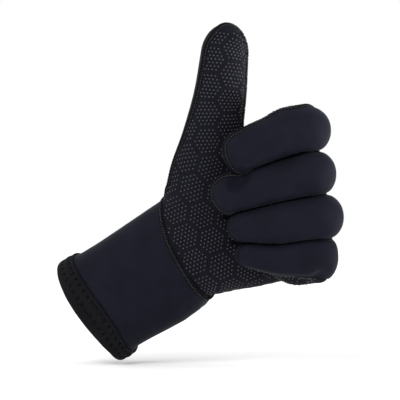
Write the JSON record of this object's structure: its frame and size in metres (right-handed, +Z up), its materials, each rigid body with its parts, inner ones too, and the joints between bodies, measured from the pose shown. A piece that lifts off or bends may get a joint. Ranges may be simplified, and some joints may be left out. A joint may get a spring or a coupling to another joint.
{
  "type": "neoprene glove",
  "caption": "left-hand neoprene sport glove in worn form, a fist with the thumb up, with a dotted grip palm panel, smooth back and a sleeve cuff with a folded stitched hem",
  "frame": {"origin": "centre of the cuff's opening, where the wrist goes in", "axes": "+Z up along the thumb, +X towards the knuckles, -Y on the palm's side"},
  "size_m": [0.163, 0.0904, 0.1951],
  "materials": {
    "neoprene": "matte knit face",
    "palm_grip": "matte knit face with raised rubber dots",
    "hem": "matte knit face",
    "grip_dots": "satin",
    "thread": "matte thread"
  },
  "bodies": {
    "root": {"palm_panel": "palm_grip", "back_panel": "neoprene", "cuff_sleeve": "neoprene", "cuff_hem": "hem"}
  },
  "joints": []
}
